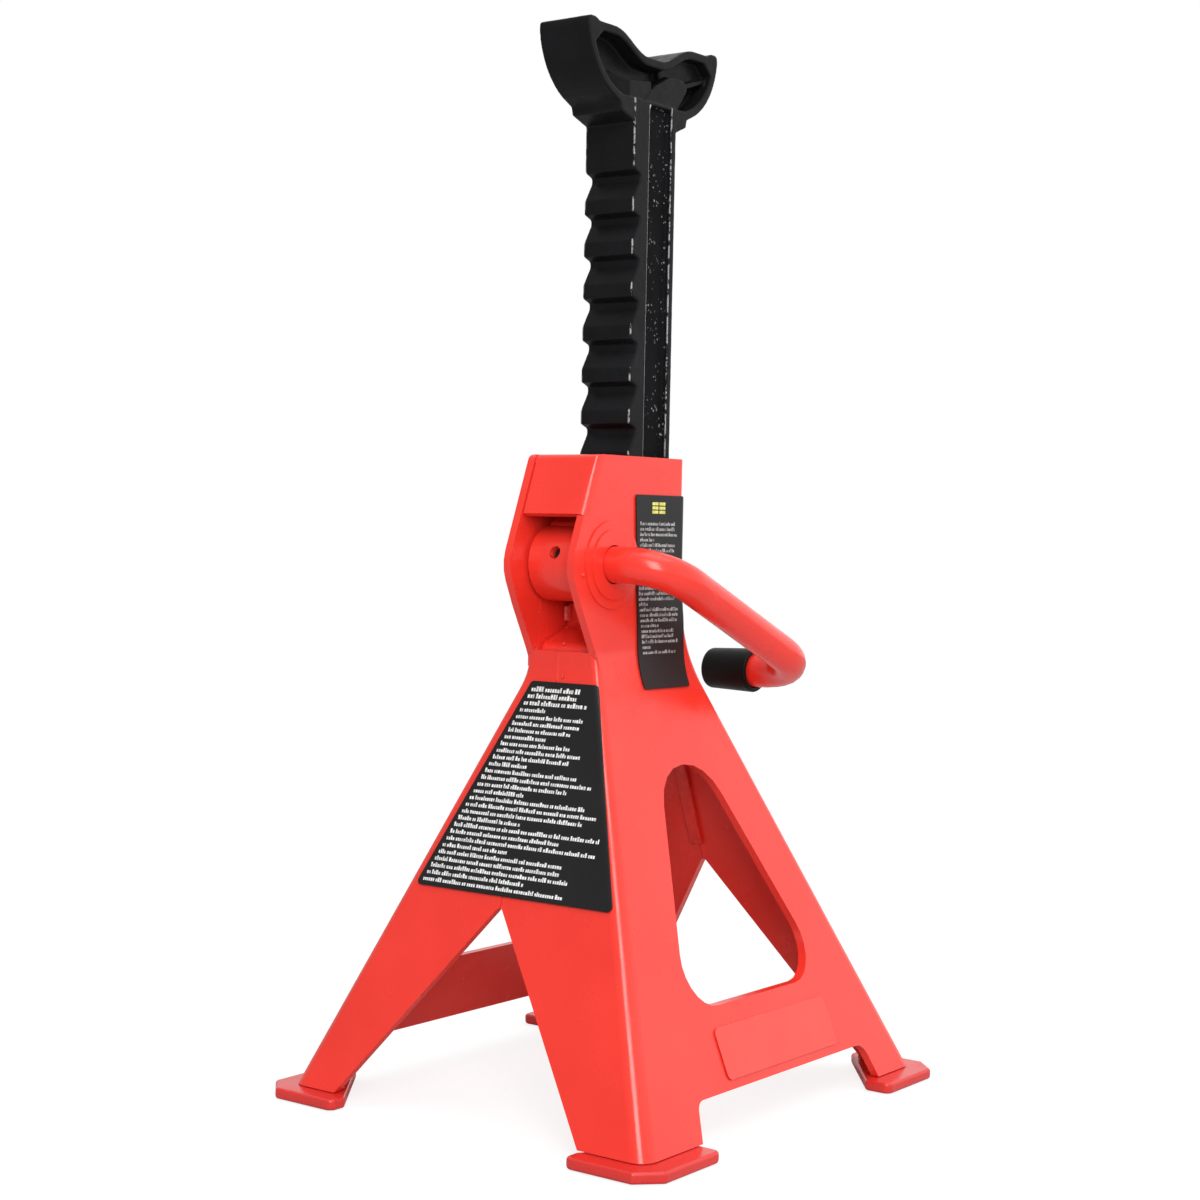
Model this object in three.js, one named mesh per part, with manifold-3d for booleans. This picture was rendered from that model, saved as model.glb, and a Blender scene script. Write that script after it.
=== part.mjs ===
// Ratchet jack stand: a pressed and welded sheet steel base, a toothed post with a cast saddle,
// and a pawl on a bent handle rod. Millimetres, +Z up, origin on the ground under the base centre.
// +X is the side the handle reaches over, -Y is the side the handle leaves the neck on.
import * as THREE from 'three';
import { mergeVertices } from 'three/addons/utils/BufferGeometryUtils.js';
import Module from 'manifold-3d';

const wasm = await Module();
wasm.setup();

// Gaps and sheet
const GAP = 0.3;
const SHEET = 3;
const SKIN = 0.4; // thickness of a label or film

// Foot plates
const PLATE_THICKNESS = 4;
const PLATE_X = 94.5;
const PLATE_Y = 86;
const PLATE_CHAMFER = 8;
const PLATE_END_X = 55; // where a plate stops along its Y edge
const PLATE_END_Y = 51; // where it stops along its X edge
const PLATE_ARM_X = 7; // widths of a plate's two narrow ends
const PLATE_ARM_Y = 10;

// Legs, measured on their outer faces
const LEG_BOTTOM = PLATE_THICKNESS + GAP;
const LEG_X = 87;
const LEG_Y = 78;
const CORNER_TOP = 3; // outer corner radius at the neck and at the feet
const CORNER_BOTTOM = 6.5;

// Neck
const NECK_TOP = 230.5;
const NECK_HALF = 15.5; // half width across the cheeks
const NECK_LEFT = 34.5;
const NECK_RIGHT = 17.8;
const CAVITY_FLOOR = 161; // the pawl cavity is open above this on the -X side
const HOOD_BOTTOM = 209;

// Folds where the sloping walls turn upright: height and half length of each bend
const SIDE_FOLD = 154.5;
const SIDE_BEND = 8;
const LEFT_FOLD = 151.7;
const LEFT_BEND = 4;
const RIGHT_FOLD = 175.5;
const RIGHT_BEND = 13;
const BENDS_LOW = 146; // all bends lie between these heights
const BENDS_HIGH = 190;
const SEAM_SKEW = -0.048; // y of the seam between the halves per mm of x

// Openings of the base
const WINDOW_BOTTOM = 42.5;
const WINDOW_TOP = 120.7;
const CROSSBAR_BOTTOM = 16.5;
const LEFT_ARCH = 74; // apex of the opening between two legs on the -X side
const RIGHT_ARCH = 79;

// Pivot, handle rod and grip
const PIVOT_X = -26.5;
const PIVOT_Z = 192;
const ROD_RADIUS = 6.5;
const ROD_REAR = 22.6;
const LEVER_Y = -38.3;
const LEVER_LENGTH = 106;
const LEVER_ANGLE = 22.9; // degrees below level
const NEAR_BEND = 17;
const FAR_BEND = 22.5;
const GRIP_TIP = 7.2;
const GRIP_OPEN = -14;

// Pawl
const HUB_RADIUS = 13.5;
const HUB_HALF = 11.3;
const NOSE_RADIUS = 24.5;
const PIN_RADIUS = 2;
const PIN_HALF = 11;
const PIN_ANGLE = 163;

// Toothed post
const POST_BOTTOM = 130;
const POST_HALF = 11;
const POST_FRONT = -11.8; // plane of the tooth lands
const POST_BACK = 13.8;
const FRONT_FLANGE = -2.5; // inner edges of the two flanges
const BACK_FLANGE = 11;
const WEB_HALF = 8.8;
const WEB_TOP = 357;
const TOOTH_PITCH = 15.1;
const FIRST_NOTCH = 333;
const NOTCH_COUNT = 12;
const NOTCH_DEPTH = 4.2;

// Saddle
const SADDLE_TOP = 382;
const SADDLE_NECK = 349.5;
const SADDLE_HALF_LENGTH = 40;
const HORN_CURVE_X = 14; // centre of the elliptical underside of a horn
const CRADLE_LOW = 373.6;
const CRADLE_RISE = 7.3;
const CRADLE_FLAT = 3.5;
const CRADLE_HALF = 24;
const SADDLE_RIM = 3.1;
const HOLLOW_HALF = 4; // half thickness of the metal left between the two hollows
const SHELF_HALF = 6.5;
const PAD_HALF = 9.6;

const PIVOT = new THREE.Vector3(PIVOT_X, 0, PIVOT_Z);
const stand = new THREE.Group();
stand.name = 'jack_stand';

const finish = {
  redPaint: { color: 0xe8392f, roughness: 0.32, metalness: 0.0 },
  redWeld: { color: 0xe2352c, roughness: 0.42, metalness: 0.0 },
  blackPaint: { color: 0x262628, roughness: 0.5, metalness: 0.0 },
  blackRubber: { color: 0x161616, roughness: 0.62, metalness: 0.0 },
  steel: { color: 0x9a9a98, roughness: 0.38, metalness: 1.0 },
  blackLabel: { color: 0x1f1f20, roughness: 0.45, metalness: 0.0 },
  clearFilm: { color: 0xf0665c, roughness: 0.18, metalness: 0.0 },
};

// ---- Geometry helpers ----

function toSolid(geometry) {
  const bare = geometry.clone();
  bare.deleteAttribute('normal');
  bare.deleteAttribute('uv');
  const merged = mergeVertices(bare, 1e-4);
  return new wasm.Manifold(new wasm.Mesh({
    numProp: 3,
    vertProperties: merged.attributes.position.array,
    triVerts: new Uint32Array(merged.index.array),
  }));
}

function toGeometry(solid) {
  const mesh = solid.getMesh();
  const geometry = new THREE.BufferGeometry();
  const position = new THREE.BufferAttribute(new Float32Array(mesh.vertProperties), 3);
  geometry.setAttribute('position', position);
  geometry.setIndex(new THREE.BufferAttribute(new Uint32Array(mesh.triVerts), 1));
  const faceted = geometry.toNonIndexed();
  faceted.computeVertexNormals();
  return faceted;
}

function addNode(name, solid, look) {
  const mesh = new THREE.Mesh(toGeometry(solid), new THREE.MeshStandardMaterial(look));
  mesh.name = name;
  stand.add(mesh);
}

const radians = (degrees) => (degrees * Math.PI) / 180;

// Points of a polygon whose corners are [x, y, radius]; corners with a radius are rounded off.
function rounded(corners) {
  const points = [];
  corners.forEach(([x, y, radius = 0], i) => {
    const corner = new THREE.Vector2(x, y);
    const before = corners[(i + corners.length - 1) % corners.length];
    const after = corners[(i + 1) % corners.length];
    const back = new THREE.Vector2(before[0] - x, before[1] - y);
    const ahead = new THREE.Vector2(after[0] - x, after[1] - y);
    const room = 0.49 * Math.min(back.length(), ahead.length());
    back.normalize();
    ahead.normalize();
    const half = Math.acos(THREE.MathUtils.clamp(back.dot(ahead), -1, 1)) / 2;
    const reach = Math.min(radius / Math.tan(half), room);
    if (reach < 0.01) {
      points.push(corner);
      return;
    }
    const steps = Math.max(2, Math.ceil((Math.PI - 2 * half) / radians(18)));
    const start = corner.clone().addScaledVector(back, reach);
    const end = corner.clone().addScaledVector(ahead, reach);
    const toCentre = back.clone().add(ahead).normalize();
    const centre = corner.clone().addScaledVector(toCentre, reach / Math.cos(half));
    const arc = reach * Math.tan(half);
    const first = start.clone().sub(centre).angle();
    let turn = end.clone().sub(centre).angle() - first;
    if (turn > Math.PI) turn -= 2 * Math.PI;
    if (turn < -Math.PI) turn += 2 * Math.PI;
    for (let k = 0; k <= steps; k += 1) {
      const angle = first + (turn * k) / steps;
      points.push(new THREE.Vector2(
        centre.x + arc * Math.cos(angle),
        centre.y + arc * Math.sin(angle),
      ));
    }
  });
  return points;
}

function extrude(points, depth) {
  return new THREE.ExtrudeGeometry(new THREE.Shape(points), { depth, bevelEnabled: false });
}

// Prism along Y: the points are (x, z).
function prismY(points, y0, y1) {
  return toSolid(extrude(points, y1 - y0).rotateX(Math.PI / 2).translate(0, y1, 0));
}

// Prism along X: the points are (y, z).
function prismX(points, x0, x1) {
  const turn = new THREE.Matrix4().makeBasis(
    new THREE.Vector3(0, 1, 0),
    new THREE.Vector3(0, 0, 1),
    new THREE.Vector3(1, 0, 0),
  );
  return toSolid(extrude(points, x1 - x0).applyMatrix4(turn).translate(x0, 0, 0));
}

// Prism along Z: the points are (x, y).
function prismZ(points, z0, z1) {
  return toSolid(extrude(points, z1 - z0).translate(0, 0, z0));
}

function box(x0, x1, y0, y1, z0, z1) {
  const geometry = new THREE.BoxGeometry(x1 - x0, y1 - y0, z1 - z0);
  return toSolid(geometry.translate((x0 + x1) / 2, (y0 + y1) / 2, (z0 + z1) / 2));
}

// Round bar about an axis through the pivot, along Y.
function pivotDisc(radius, y0, y1, sides = 48) {
  const geometry = new THREE.CylinderGeometry(radius, radius, y1 - y0, sides);
  return toSolid(geometry.translate(PIVOT.x, (y0 + y1) / 2, PIVOT.z));
}

// Closed solid through a list of rings, each a list of points with the same count.
function loft(rings) {
  const count = rings[0].length;
  const vertices = [];
  const faces = [];
  rings.forEach((ring) => ring.forEach((p) => vertices.push(p.x, p.y, p.z)));
  for (let k = 0; k + 1 < rings.length; k += 1) {
    for (let i = 0; i < count; i += 1) {
      const a = k * count + i;
      const b = k * count + ((i + 1) % count);
      faces.push(a, b, b + count);
      faces.push(a, b + count, a + count);
    }
  }
  const capStart = (rings.length - 1) * count;
  for (let i = 1; i + 1 < count; i += 1) {
    faces.push(0, i + 1, i);
    faces.push(capStart, capStart + i, capStart + i + 1);
  }
  return new wasm.Manifold(new wasm.Mesh({
    numProp: 3,
    vertProperties: new Float32Array(vertices),
    triVerts: new Uint32Array(faces),
  }));
}

// ---- Base: two pressed halves ----

const SIDE_SLOPE = (LEG_Y - NECK_HALF) / (SIDE_FOLD - PLATE_THICKNESS);
const LEFT_SLOPE = (LEG_X - NECK_LEFT) / (LEFT_FOLD - PLATE_THICKNESS);
const RIGHT_SLOPE = (LEG_X - NECK_RIGHT) / (RIGHT_FOLD - PLATE_THICKNESS);

// How far a wall stands out at height z from where it is upright, and its tilt there.
function wallAt(z, fold, bend, slope) {
  const drop = fold - z;
  if (drop >= bend) return { out: slope * drop, tilt: slope };
  if (drop <= -bend) return { out: 0, tilt: 0 };
  const into = drop + bend;
  return { out: (slope * into * into) / (4 * bend), tilt: (slope * into) / (2 * bend) };
}

// Section of the base at height z, set in from its outer face by inset.
function baseRing(z, inset) {
  const side = wallAt(z, SIDE_FOLD, SIDE_BEND, SIDE_SLOPE);
  const left = wallAt(z, LEFT_FOLD, LEFT_BEND, LEFT_SLOPE);
  const right = wallAt(z, RIGHT_FOLD, RIGHT_BEND, RIGHT_SLOPE);
  const y = NECK_HALF + side.out - inset * Math.hypot(1, side.tilt);
  const x0 = -NECK_LEFT - left.out + inset * Math.hypot(1, left.tilt);
  const x1 = NECK_RIGHT + right.out - inset * Math.hypot(1, right.tilt);
  const sunk = THREE.MathUtils.clamp((SIDE_FOLD - z) / SIDE_FOLD, 0, 1);
  const outer = THREE.MathUtils.lerp(CORNER_TOP, CORNER_BOTTOM, sunk);
  const radius = Math.max(outer - inset, 0.6);
  const steps = 6;
  const ring = [];
  const corners = [[x1, y, 0], [x0, y, 90], [x0, -y, 180], [x1, -y, 270]];
  corners.forEach(([cx, cy, start]) => {
    const mx = cx - Math.sign(cx) * radius;
    const my = cy - Math.sign(cy) * radius;
    for (let k = 0; k <= steps; k += 1) {
      const angle = radians(start + (90 * k) / steps);
      const px = mx + radius * Math.cos(angle);
      const py = my + radius * Math.sin(angle);
      ring.push(new THREE.Vector3(px, py, z));
    }
  });
  return ring;
}

// Solid inside the base's outer face set in by inset, between two heights.
function baseCore(inset, z0, z1) {
  const bends = [];
  for (let z = BENDS_LOW; z <= BENDS_HIGH; z += 2) bends.push(z);
  const levels = [z0, ...bends.filter((z) => z > z0 + 0.1 && z < z1 - 0.1), z1];
  return loft(levels.map((z) => baseRing(z, inset)));
}

// Layer of the base between two insets.
function baseLayer(outer, inner, z0, z1) {
  return baseCore(outer, z0, z1).subtract(baseCore(inner, z0 - 1, z1 + 1));
}

// Openings in the +Y and -Y faces, as (x, z); their slanting sides follow the legs.
const windowOutline = rounded([
  [47.7, WINDOW_BOTTOM, 13.5],
  [13, WINDOW_TOP, 19],
  [-14.5, WINDOW_TOP, 19],
  [-42.3, WINDOW_BOTTOM, 13.5],
]);
const underBarOutline = rounded([
  [63, -1],
  [57.6, CROSSBAR_BOTTOM, 6],
  [-50.2, CROSSBAR_BOTTOM, 4],
  [-56, -1],
]);

// Openings in the +X and -X faces, as (y, z), each with its apex on the seam.
function archOutline(apexY, apexZ) {
  return rounded([[apexY + 58, -1], [apexY, apexZ, 1.5], [apexY - 58, -1]]);
}

const CHEEK_EDGE = [[-35, NECK_TOP + 0.5], [-49.8, 191]]; // slanting edge of a cheek, top to bulge
const earOutline = rounded([
  [-29, NECK_TOP],
  [-35.2, NECK_TOP, 3],
  [...CHEEK_EDGE[1], 14],
  [-43.4, 177, 12],
  [-33.6, 158.5, 3],
  [-33, 155],
  [-29, 155],
]);

// Bulge of a cheek around the pivot, following the bend of the panel below it.
function cheekEar() {
  const band = [];
  const bands = [SHEET, 0].map((inset) => {
    const side = [];
    for (let z = BENDS_LOW; z <= 174; z += 2) {
      const wall = wallAt(z, SIDE_FOLD, SIDE_BEND, SIDE_SLOPE);
      side.push(new THREE.Vector2(NECK_HALF + wall.out - inset * Math.hypot(1, wall.tilt), z));
    }
    side.push(new THREE.Vector2(NECK_HALF - inset, NECK_TOP));
    return side;
  });
  band.push(...bands[0].reverse(), ...bands[1]);
  return prismX(band, -56, -29).intersect(prismY(earOutline, 0, 40));
}

// Emboss around the pivot on a cheek, in two low steps.
function cheekEmboss() {
  const first = pivotDisc(15.6, NECK_HALF - 1, NECK_HALF + 0.6);
  return first.add(pivotDisc(12.4, NECK_HALF - 1, NECK_HALF + 1.2));
}

// Hood over the pawl: a flange of the front cheek, bent across the -X side, with a lip at the top.
function hood() {
  const down = new THREE.Vector3(
    CHEEK_EDGE[1][0] - CHEEK_EDGE[0][0],
    0,
    CHEEK_EDGE[1][1] - CHEEK_EDGE[0][1],
  ).normalize();
  const across = new THREE.Vector3(0, 1, 0);
  const out = new THREE.Vector3().crossVectors(across, down);
  const frame = new THREE.Matrix4().makeBasis(out, across, down);
  frame.setPosition(CHEEK_EDGE[0][0], 0, CHEEK_EDGE[0][1]);
  const inner = NECK_HALF - SHEET;
  const section = rounded([
    [0, inner - GAP, 1],
    [0, -NECK_HALF, 4],
    [-7, -NECK_HALF],
    [-7, -inner],
    [-SHEET, -inner, 1],
    [-SHEET, inner - GAP, 0.5],
  ]);
  const length = (NECK_TOP - HOOD_BOTTOM) / -down.z;
  const sheet = toSolid(extrude(section, length + 4).translate(0, 0, -4).applyMatrix4(frame));
  const lip = rounded([
    [-37, NECK_TOP - SHEET],
    [-37, NECK_TOP],
    [POST_FRONT - 0.6, NECK_TOP, 1],
    [POST_FRONT - 0.6, NECK_TOP - SHEET, 1],
  ]);
  const flange = prismY(lip, -inner + GAP, inner - GAP);
  const keep = rounded([
    [CHEEK_EDGE[0][0] + 0.2, NECK_TOP, 3],
    [-60, 168],
    [0, 168],
    [0, NECK_TOP],
  ]);
  return sheet.add(flange).intersect(prismY(keep, -20, 20));
}

// Block that clears a cheek's sharp edge where the hood's rounded bend takes its place.
function hoodRelief() {
  const corner = [
    [-60, HOOD_BOTTOM],
    [-43.9 + 6.5, HOOD_BOTTOM],
    [-35.2 + 6.5, NECK_TOP + 1],
    [-60, NECK_TOP + 1],
  ].map(([x, z]) => new THREE.Vector2(x, z));
  return prismY(corner, -20, -5);
}

function baseShell() {
  const neckCorner = rounded([
    [NECK_RIGHT + 5, NECK_TOP + 5],
    [NECK_RIGHT - 6, NECK_TOP + 5],
    [NECK_RIGHT - 6, NECK_TOP],
    [NECK_RIGHT - 0.01, NECK_TOP],
    [NECK_RIGHT - 0.01, NECK_TOP - 6],
    [NECK_RIGHT + 5, NECK_TOP - 6],
  ]);
  let shell = baseLayer(0, SHEET, LEG_BOTTOM, NECK_TOP);
  shell = shell.subtract(prismY(windowOutline, -90, 90));
  shell = shell.subtract(prismY(underBarOutline, -90, 90));
  shell = shell.subtract(prismX(archOutline(3, LEFT_ARCH), -95, -20));
  shell = shell.subtract(prismX(archOutline(-2.8, RIGHT_ARCH), 20, 95));
  const inner = NECK_HALF - SHEET;
  shell = shell.subtract(
    box(-60, -NECK_LEFT + SHEET + 0.3, -inner - 0.3, inner + 0.3, CAVITY_FLOOR, NECK_TOP + 1),
  );
  return shell.subtract(prismY(neckCorner, -20, 20));
}

const mirrorY = (solid) => solid.mirror([0, 1, 0]);
const rodHole = pivotDisc(ROD_RADIUS + 0.4, -20, 20);
const shell = baseShell();
const cheek = cheekEar().add(cheekEmboss());

// Everything on the +Y side of the seam, drawn back from it by half a gap.
function beyondSeam(side) {
  const seamEnd = (x) => new THREE.Vector2(x, SEAM_SKEW * x + (side * GAP) / 2);
  const far = [new THREE.Vector2(100, side * 100), new THREE.Vector2(-100, side * 100)];
  const outline = [seamEnd(-100), seamEnd(100), ...far];
  return prismZ(side > 0 ? outline : outline.reverse(), 0, 240);
}

const rearHalf = shell.intersect(beyondSeam(1)).add(cheek).subtract(rodHole);
const frontCheek = mirrorY(cheek).subtract(hoodRelief());
const frontHalf = shell
  .intersect(beyondSeam(-1))
  .subtract(hoodRelief())
  .add(frontCheek)
  .add(hood())
  .subtract(rodHole);

addNode('front_half_frame', frontHalf, finish.redPaint);
addNode('rear_half_frame', rearHalf, finish.redPaint);

// ---- Feet ----

const plateOutline = rounded([
  [PLATE_X, PLATE_END_Y, 3],
  [PLATE_X, PLATE_Y - PLATE_CHAMFER, 2],
  [PLATE_X - PLATE_CHAMFER, PLATE_Y, 2],
  [PLATE_END_X, PLATE_Y, 3],
  [PLATE_END_X, PLATE_Y - PLATE_ARM_Y, 2],
  [PLATE_X - PLATE_ARM_X, PLATE_END_Y, 2],
]);
const plate = prismZ(plateOutline, 0, PLATE_THICKNESS);

// Fillet weld inside the foot of a leg, from the leg's two walls down to the plate.
const WELD_HEIGHT = 3.2;
function footWelds() {
  const start = SHEET + GAP;
  const bottom = PLATE_THICKNESS + GAP;
  const top = bottom + WELD_HEIGHT;
  const outer = loft([baseRing(bottom, start), baseRing(top, start)]);
  const inner = loft([baseRing(bottom - 0.1, start + 3.4), baseRing(top + 0.1, start + 0.7)]);
  return outer.subtract(inner);
}
const welds = footWelds();
const legCorner = box(65, 90, 58, 85, 0, 12);

const corners = [
  ['front_left', -1, -1],
  ['front_right', 1, -1],
  ['rear_left', -1, 1],
  ['rear_right', 1, 1],
];
corners.forEach(([place, sx, sy]) => {
  const turned = (solid) => {
    const alongX = sx < 0 ? solid.mirror([1, 0, 0]) : solid;
    return sy < 0 ? mirrorY(alongX) : alongX;
  };
  addNode(`foot_plate_${place}`, turned(plate), finish.redPaint);
  addNode(`foot_weld_${place}`, welds.intersect(turned(legCorner)), finish.redWeld);
});

// Welds behind the two seams where the halves meet, one on each end of the base.
const seamLayer = baseLayer(SHEET + GAP, SHEET + GAP + 1.6, RIGHT_ARCH + 5, 146);
addNode('seam_weld_left', seamLayer.intersect(box(-90, -20, -0.3, 4.9, 0, 200)), finish.redWeld);
addNode('seam_weld_right', seamLayer.intersect(box(10, 90, -4.7, 0.5, 0, 200)), finish.redWeld);

// ---- Post guide below the pawl ----

// Bent sheet from behind the -X wall over to the post and up along it, as (x, z).
const GUIDE_FRONT = -NECK_LEFT + SHEET + 2 * GAP;
const GUIDE_BACK = POST_FRONT - 0.9;
const GUIDE_HALF = NECK_HALF - SHEET - GAP;
const GUIDE_LOW = 163; // height where the sheet leaves the wall
const GUIDE_HIGH = 169.2; // height where it reaches the post
const GUIDE_TOP = 177.5;
const guideOutline = rounded([
  [GUIDE_FRONT, 157],
  [GUIDE_FRONT + SHEET, 157],
  [GUIDE_FRONT + SHEET, GUIDE_LOW - 2, 2],
  [GUIDE_BACK, GUIDE_HIGH - 2.6, 2],
  [GUIDE_BACK, GUIDE_TOP, 1],
  [GUIDE_BACK - SHEET, GUIDE_TOP, 1],
  [GUIDE_BACK - SHEET, GUIDE_HIGH, 3],
  [GUIDE_FRONT, GUIDE_LOW, 4],
]);
addNode('post_guide_plate', prismY(guideOutline, -GUIDE_HALF, GUIDE_HALF), finish.redPaint);

// Weld bead up each side of the sheet, in the corner with the cheek.
const beadFront = GUIDE_BACK - SHEET - GAP;
const beadOutline = rounded([
  [beadFront, GUIDE_HALF],
  [beadFront, GUIDE_HALF - 2.2],
  [beadFront - 1.2, GUIDE_HALF - 1.2, 1],
  [beadFront - 2.2, GUIDE_HALF],
]);
const bead = prismZ(beadOutline, GUIDE_HIGH + 1.6, GUIDE_TOP - 1);
addNode('guide_weld_rear', bead, finish.redWeld);
addNode('guide_weld_front', mirrorY(bead), finish.redWeld);

// ---- Toothed post and saddle, one casting ----

// Front face of the post from the top notch down to the foot: flat-topped teeth with a hooked
// underside, a rounded root and a ramp back out to the next land.
function toothEdge() {
  const edge = [];
  for (let k = 0; k < NOTCH_COUNT; k += 1) {
    const z = FIRST_NOTCH - k * TOOTH_PITCH;
    edge.push([POST_FRONT, z, k === 0 ? 1.6 : 0.5]);
    edge.push([POST_FRONT + NOTCH_DEPTH, z - 1.6, 1.2]);
    edge.push([POST_FRONT + NOTCH_DEPTH - 0.2, z - 3.6, 2]);
    edge.push([POST_FRONT, z - 10.3, 1.5]);
  }
  return edge;
}

const cradleAt = (x) => {
  const rise = (Math.abs(x) - CRADLE_FLAT) / (CRADLE_HALF - CRADLE_FLAT);
  const swing = THREE.MathUtils.clamp(rise, 0, 1);
  return CRADLE_LOW + (CRADLE_RISE * (1 - Math.cos(Math.PI * swing))) / 2;
};

const hornHalf = SADDLE_HALF_LENGTH - HORN_CURVE_X;
const hornDrop = SADDLE_TOP - 354.5;

// Underside of the +X horn from the shoulder up to the tip, drawn in by inset.
function hornCurve(inset, from, to, steps) {
  const points = [];
  for (let k = 0; k <= steps; k += 1) {
    const angle = radians(from + ((to - from) * k) / steps);
    points.push([
      HORN_CURVE_X + (hornHalf - inset) * Math.sin(angle),
      SADDLE_TOP - (hornDrop - inset) * Math.cos(angle),
    ]);
  }
  return points;
}

function saddleTop() {
  const points = [
    [SADDLE_HALF_LENGTH - 0.4, SADDLE_TOP, 1.3],
    [35.6, SADDLE_TOP, 1.2],
    [33.4, cradleAt(33.4), 1.5],
  ];
  for (let x = 25.5; x >= CRADLE_FLAT; x -= 2) points.push([x, cradleAt(x)]);
  return points;
}

const shoulderRight = [
  [POST_BACK, SADDLE_NECK, 0.8],
  [20.2, 352.4, 1],
  [20.6, 355.1, 0.8],
];
const halfTop = [...hornCurve(0, 20, 84, 9), ...saddleTop()];
const mirrored = (points) => points.map(([x, z, r]) => [-x, z, r]).reverse();
const postOutline = rounded([
  [POST_BACK, POST_BOTTOM, 1.5],
  ...shoulderRight,
  ...halfTop,
  ...mirrored(halfTop),
  [-20.6, 355.1, 0.8],
  [-20.2, 352.4, 1],
  [POST_FRONT, SADDLE_NECK, 0.8],
  ...toothEdge(),
  [POST_FRONT, POST_BOTTOM, 1.5],
]);

// Hollow in a broad face of the saddle, inside the rims of the horns and of the cradle.
function saddleHollow() {
  const half = hornCurve(SADDLE_RIM, 12, 70, 8);
  for (let x = 31; x >= 1; x -= 2) half.push([x, cradleAt(x) - SADDLE_RIM]);
  return rounded([...half, ...mirrored(half)]);
}

const webOutline = rounded([
  [BACK_FLANGE, POST_BOTTOM + 7, 2],
  [BACK_FLANGE, WEB_TOP, 2],
  [FRONT_FLANGE, WEB_TOP, 2],
  [FRONT_FLANGE, POST_BOTTOM + 7, 2],
]);

// Pad in the hollow above the web.
const padOutline = rounded([
  [BACK_FLANGE + 3, WEB_TOP - 0.6, 1],
  [19, 361.6, 3],
  [23, 367.4, 1.5],
  [19.4, 369.6, 2],
  [11.5, 369.6, 4],
  [2, 364.6, 3],
  [-4.6, 358, 1],
  [-4, WEB_TOP - 0.6, 1],
]);

// Thin rib from the pad to the tip of the +X horn.
const ribOutline = rounded([[20, 366.2], [38.6, 372.4], [38.6, 374], [20, 368.4]]);

// Top of the post's front flange, rising out of the hollow's floor beside the pad.
function flangeTop() {
  const plan = [[-21, -HOLLOW_HALF], [-13, -9.2], [0, -9.2]];
  const across = plan.map(([x, y]) => [x, -y]).reverse();
  const side = rounded([[0, 355], [0, 366], [-13, 364.5], [-22, 367], [-22, 355]]);
  return prismZ(rounded([...plan, ...across]), 356, 372).intersect(prismY(side, -11, 11));
}

// Part of the hollow above the rib, which is shallower than the rest.
function hollowShelf(outline) {
  const aboveRib = [[20, 367.2], [39, 373.2], [39, 381], [8, 381], [8, 369]];
  const region = prismY(rounded(aboveRib), -SHELF_HALF, SHELF_HALF);
  return prismY(outline, -SHELF_HALF, SHELF_HALF).intersect(region);
}

// Cuts a pocket of one outline into both broad faces, leaving the middle 2 * half thick.
function pocketBothFaces(solid, outline, half) {
  const near = prismY(outline, -POST_HALF - 1, -half);
  return solid.subtract(near).subtract(mirrorY(near));
}

const hollow = saddleHollow();
let post = prismY(postOutline, -POST_HALF, POST_HALF);
post = pocketBothFaces(post, webOutline, WEB_HALF);
post = pocketBothFaces(post, hollow, HOLLOW_HALF);
post = post
  .add(hollowShelf(hollow))
  .add(prismY(padOutline, -PAD_HALF, PAD_HALF))
  .add(prismY(ribOutline, -8.8, 8.8))
  .add(flangeTop());
addNode('ratchet_post', post, finish.blackPaint);

// ---- Pawl ----

// Point at a polar position about the pivot, as (x, z).
function aroundPivot(radius, degrees) {
  return new THREE.Vector2(
    PIVOT.x + radius * Math.cos(radians(degrees)),
    PIVOT.z + radius * Math.sin(radians(degrees)),
  );
}

// Nose of the pawl, standing just clear of the tooth lands.
const noseOutline = rounded([
  aroundPivot(NOSE_RADIUS, 54.6),
  aroundPivot(22.9, 64.4),
  aroundPivot(13.9, 104),
  aroundPivot(9, 90),
  aroundPivot(9, 20),
  aroundPivot(13.2, 22),
  aroundPivot(17.6, 47.6),
].map((p, i) => [p.x, p.y, [0.6, 1.2, 3, 0, 0, 0, 2][i]]));

function crossPin(radius, half) {
  const geometry = new THREE.CylinderGeometry(radius, radius, 2 * half, 20);
  geometry.rotateZ(Math.PI / 2).rotateY(-radians(PIN_ANGLE - 180));
  return toSolid(geometry.translate(PIVOT.x, 0, PIVOT.z));
}

const pinHole = crossPin(PIN_RADIUS + GAP, 30);
const pawl = pivotDisc(HUB_RADIUS, -HUB_HALF, HUB_HALF, 56)
  .add(prismY(noseOutline, -HUB_HALF + 0.6, HUB_HALF - 0.6))
  .subtract(pivotDisc(ROD_RADIUS + GAP, -20, 20))
  .subtract(pinHole);
addNode('pawl', pawl, finish.redPaint);

// Slotted spring pin that keys the pawl to the rod.
const pinSlot = box(-PIN_HALF - 1, PIN_HALF + 1, -0.4, 0.4, 0, 4);
const slotTurn = [0, -(PIN_ANGLE - 180), 0];
const slot = pinSlot.rotate(slotTurn).translate([PIVOT.x, 0, PIVOT.z]);
const springPin = crossPin(PIN_RADIUS, PIN_HALF).subtract(crossPin(1.2, 20)).subtract(slot);
addNode('spring_pin', springPin, finish.steel);

// ---- Handle rod and grip, all in one slanting plane through the pivot axis ----

const leverDir = new THREE.Vector3(
  Math.cos(radians(LEVER_ANGLE)),
  0,
  -Math.sin(radians(LEVER_ANGLE)),
);
const axisDir = new THREE.Vector3(0, 1, 0);
const planeNormal = new THREE.Vector3().crossVectors(axisDir, leverDir);

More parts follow.
